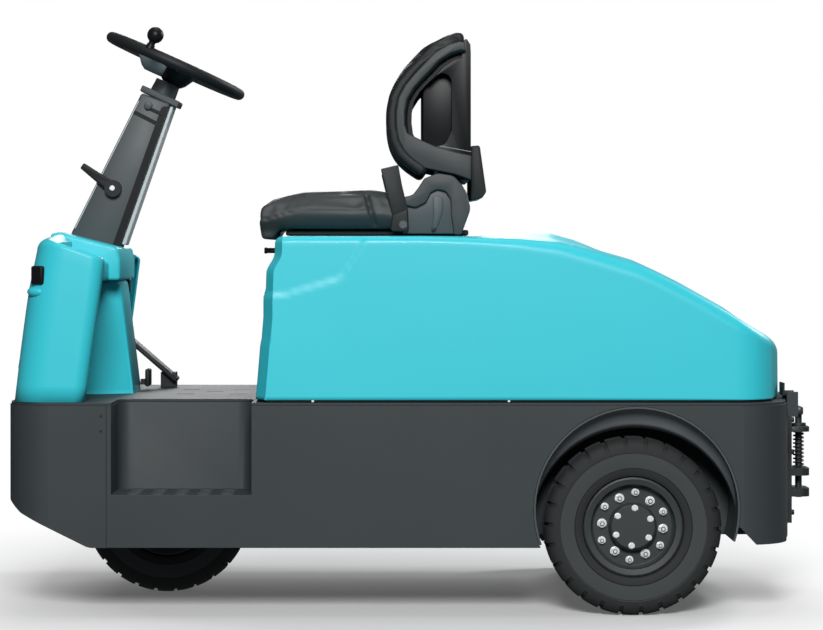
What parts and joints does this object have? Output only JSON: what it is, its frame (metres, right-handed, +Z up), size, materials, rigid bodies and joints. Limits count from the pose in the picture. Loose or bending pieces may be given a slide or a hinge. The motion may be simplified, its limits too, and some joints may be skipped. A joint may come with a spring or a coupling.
{
  "type": "electric tow tractor",
  "caption": "Ride-on electric tow tractor with a steered front wheel, low side steps, a seat on a tilting bonnet and a rear pin coupling.",
  "frame": {"origin": "on the floor, below the middle of the whole vehicle's bounding box", "axes": "+X forward, +Y to the driver's left, +Z up"},
  "size_m": [1.94, 0.98, 1.3969],
  "materials": {
    "teal_paint": "smooth satin paint",
    "chassis_paint": "fine-textured dark grey powder coat",
    "dark_plastic": "fine-grained black plastic",
    "column_paint": "fine-textured dark grey paint",
    "grey_plastic": "light grey plastic",
    "steel": "bright plated steel",
    "tyre_rubber": "black tyre rubber",
    "seat_cover": "black vinyl seat cover",
    "lamp_lens": "clear lens over white",
    "battery_case": "plain dark battery case"
  },
  "bodies": {
    "chassis": {"frame_nose": "chassis_paint", "frame_side_left": "chassis_paint", "frame_side_right": "chassis_paint", "frame_rear": "chassis_paint", "deck_plate": "chassis_paint", "battery_tray": "chassis_paint", "frame_rail_left": "chassis_paint", "frame_rail_right": "chassis_paint", "arch_liner_left": "dark_plastic", "arch_liner_right": "dark_plastic", "drive_axle": "chassis_paint", "battery": "battery_case", "tow_coupling": "chassis_paint", "cowl_shell": "teal_paint", "cowl_dash": "teal_paint", "leg_shield": "teal_paint", "headlamp_left": "lamp_lens", "headlamp_right": "lamp_lens", "column_housing": "column_paint", "column_cover": "grey_plastic", "column_lever": "dark_plastic", "accelerator_pedal": "dark_plastic", "brake_pedal": "dark_plastic"},
    "bonnet": {"bonnet_shell": "teal_paint", "bonnet_hinge_left": "dark_plastic", "bonnet_hinge_right": "dark_plastic", "bonnet_release": "dark_plastic", "seat_base": "dark_plastic", "seat_cushion": "seat_cover", "seat_back": "seat_cover", "seat_shell": "dark_plastic", "seat_recliner_left": "dark_plastic", "seat_recliner_right": "dark_plastic", "hip_restraint_left": "dark_plastic", "hip_restraint_right": "dark_plastic", "document_pocket": "dark_plastic"},
    "steer_fork": {"steer_fork": "chassis_paint"},
    "front_wheel": {"front_rim": "chassis_paint", "front_tyre": "tyre_rubber"},
    "steering_wheel": {"steering_wheel": "dark_plastic"},
    "rear_wheel_left": {"rear_rim_left": "chassis_paint", "rear_tyre_left": "tyre_rubber"},
    "rear_wheel_right": {"rear_rim_right": "chassis_paint", "rear_tyre_right": "tyre_rubber"},
    "tow_pin": {"tow_pin": "steel"}
  },
  "joints": [
    {"name": "bonnet_hinge", "type": "hinge", "parent": "chassis", "child": "bonnet", "pos_m": [-0.885, 0, 0.505], "axis": [0, -1, 0], "range_deg": [0, 50]},
    {"name": "front_steer", "type": "hinge", "parent": "chassis", "child": "steer_fork", "pos_m": [0.63, 0, 0.431], "axis": [0, 0, 1], "range_deg": [-75, 75]},
    {"name": "front_wheel_spin", "type": "hinge", "parent": "steer_fork", "child": "front_wheel", "pos_m": [0.63, 0, 0.207], "axis": [0, 1, 0], "continuous": true},
    {"name": "steering_turn", "type": "hinge", "parent": "chassis", "child": "steering_wheel", "pos_m": [0.613, 0, 1.312], "axis": [-0.4083, 0, 0.9128], "range_deg": [-675, 675]},
    {"name": "rear_left_spin", "type": "hinge", "parent": "chassis", "child": "rear_wheel_left", "pos_m": [-0.49, 0.4245, 0.207], "axis": [0, 1, 0], "continuous": true},
    {"name": "rear_right_spin", "type": "hinge", "parent": "chassis", "child": "rear_wheel_right", "pos_m": [-0.49, -0.4245, 0.207], "axis": [0, 1, 0], "continuous": true},
    {"name": "tow_pin_lift", "type": "slide", "parent": "chassis", "child": "tow_pin", "axis": [0, 0, 1], "range_m": [0, 0.08]}
  ],
  "couplings": [
    {"joint": "steering_turn", "follows": "front_steer", "ratio": 9}
  ]
}
